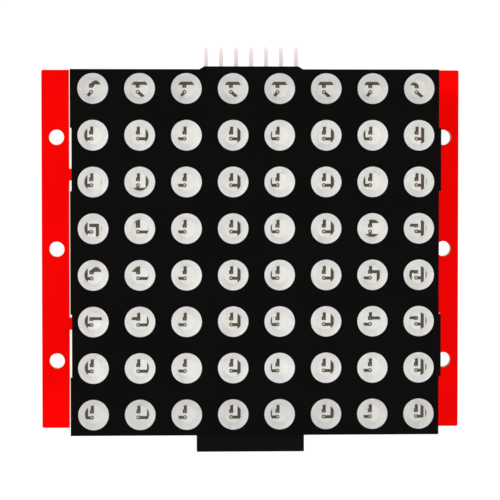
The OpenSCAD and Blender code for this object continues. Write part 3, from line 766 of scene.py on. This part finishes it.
leads_low, leads_high = (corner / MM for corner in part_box("driver_chip_leads"))
LEADS_A_SIDE, LEAD_W = 12, 0.41
FOOT_Y = 0.35
lead_pitch = (leads_high.x - leads_low.x - LEAD_W) / (LEADS_A_SIDE - 1)
parts_low, parts_high = (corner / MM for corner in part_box("bypass_capacitor"))
top_low, top_high = (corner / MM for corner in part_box("current_set_resistor"))
can_low, can_high = (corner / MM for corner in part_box("bulk_capacitor_leads"))
small_y = (parts_low.y + parts_high.y) / 2
bead_rows = (
    ("chip_lead_solder", bead(0.62, 1.7, 0.13), LEADS_A_SIDE, 2, lead_pitch,
     leads_high.y - leads_low.y - 2 * FOOT_Y, (leads_low.x + LEAD_W / 2, leads_low.y + FOOT_Y)),
    ("small_part_solder", bead(0.75, 1.45, 0.38), 2, 2, parts_high.x - parts_low.x,
     (top_low.y + top_high.y) / 2 - small_y, (parts_low.x, small_y)),
    ("can_lead_solder", bead(1.1, 1.2, 0.16), 2, 1, can_high.x - can_low.x, 0,
     (can_low.x, (can_low.y + can_high.y) / 2)),
)
for name, ball, columns, rows, pitch_x, pitch_y, first in bead_rows:
    beads = grid_of(name, ball, columns, rows, pitch_x, pitch_y, (*first, board_t), finishes["solder"])

# %% [markdown]
# ## Tracks under the mask
# Copper under solder mask shows as lines that stand up a little and are a darker red. Seven tracks
# behind the board join the inlet pins to the outlet contacts. In front, eight tracks from each row of
# display pins close in on the chip, and a few more lead to the resistor and the capacitors. Each
# track is a flat ribbon with mitred corners.

# %% Tracks
def ribbon(form, points, width, z0, z1):
    """A flat bar along points in millimetres, closed at both ends."""
    points = [Vector(p) for p in points]
    rims = []
    for i, at in enumerate(points):
        before = (at - points[i - 1]).normalized() if i else None
        after = (points[i + 1] - at).normalized() if i + 1 < len(points) else None
        ways = [w for w in (before, after) if w is not None]
        along = sum(ways, Vector((0, 0))).normalized()
        across = Vector((-along.y, along.x)) * width / 2 / max(0.5, along.dot(ways[0]))
        rims.append([form.verts.new((*(spot * MM), z * MM))
                     for spot, z in ((at - across, z0), (at + across, z0),
                                     (at + across, z1), (at - across, z1))])
    for low, high in zip(rims, rims[1:]):
        for i in range(4):
            j = (i + 1) % 4
            form.faces.new((low[i], low[j], high[j], high[i]))
    form.faces.new(rims[0])
    form.faces.new(rims[-1])


def tracks(name, runs, z0, z1):
    form = bmesh.new()
    for points, width in runs:
        ribbon(form, points, width, z0, z1)
    bmesh.ops.recalc_face_normals(form, faces=form.faces)
    mesh = bpy.data.meshes.new(name)
    form.to_mesh(mesh)
    form.free()
    mesh.materials.append(track_red)
    piece = add_piece(name, mesh)
    return piece


def row_spots(row_name, columns):
    """Where a row's pins stand: (list of x from left to right, y of the lowest row, y of the highest)."""
    low, high = (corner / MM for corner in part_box(row_name + "_solder_joints"))
    left, right = low.x + MOUND_R, high.x - MOUND_R
    spots_x = [left + i * (right - left) / (columns - 1) for i in range(columns)]
    return spots_x, low.y + MOUND_R, high.y - MOUND_R


pins_x, pins_low_y, pins_high_y = row_spots("display", 8)
inlet_x, inlet_y = row_spots("inlet", 7)[:2]
outlet_x, outlet_y = row_spots("outlet", 7)[:2]
bus = [([(a, inlet_y - 0.6), (a, outlet_y + 1.6), (b, outlet_y + 1.1), (b, outlet_y + 0.6)],
        0.36) for a, b in zip(inlet_x, outlet_x)]
tracks("back_tracks", bus, -0.03, 0.02)

# %% Tracks in front
BEND_Y = 15.5

foot_y = leads_high.y - FOOT_Y
fan = []
for i, x in enumerate(pins_x):
    lead_x = leads_low.x + LEAD_W / 2 + (i + 2) * lead_pitch
    for side, pin_y in ((1, pins_high_y), (-1, -pins_low_y)):
        fan.append(([(x, side * (pin_y - 0.6)), (x, side * BEND_Y),
                     (lead_x, side * (BEND_Y - abs(lead_x - x))), (lead_x, side * foot_y)], 0.32))
last_x = leads_high.x - LEAD_W / 2
part_y = abs(small_y)
TRUNK_X, TRUNK_W = 17.4, 0.8
for side in (1, -1):
    fan.append(([(last_x, side * foot_y), (last_x, side * 7), (last_x + 1.2, side * 8.2),
                 (11.2, side * 8.2), (parts_low.x + 0.2, side * 6.2), (parts_low.x + 0.2, side * part_y)],
                0.4))
    fan.append(([(parts_high.x - 0.2, side * part_y), (TRUNK_X - TRUNK_W / 2, side * part_y)], 0.6))
can_y = (can_low.y + can_high.y) / 2
fan += [
    ([(TRUNK_X, -18), (TRUNK_X, 18)], TRUNK_W),
    ([(can_high.x - 0.3, can_y), (-13, can_y + 4), (-13, inlet_y - 3.5), (-9.5, inlet_y),
      (inlet_x[0] - 0.8, inlet_y)], 0.8),
    ([(can_low.x + 0.3, can_y), (-25, can_y), (-25, outlet_y + 2), (-23, outlet_y),
      (outlet_x[0] - 0.8, outlet_y)], 0.8),
]
tracks("front_tracks", fan, board_t - 0.02, board_t + 0.03)
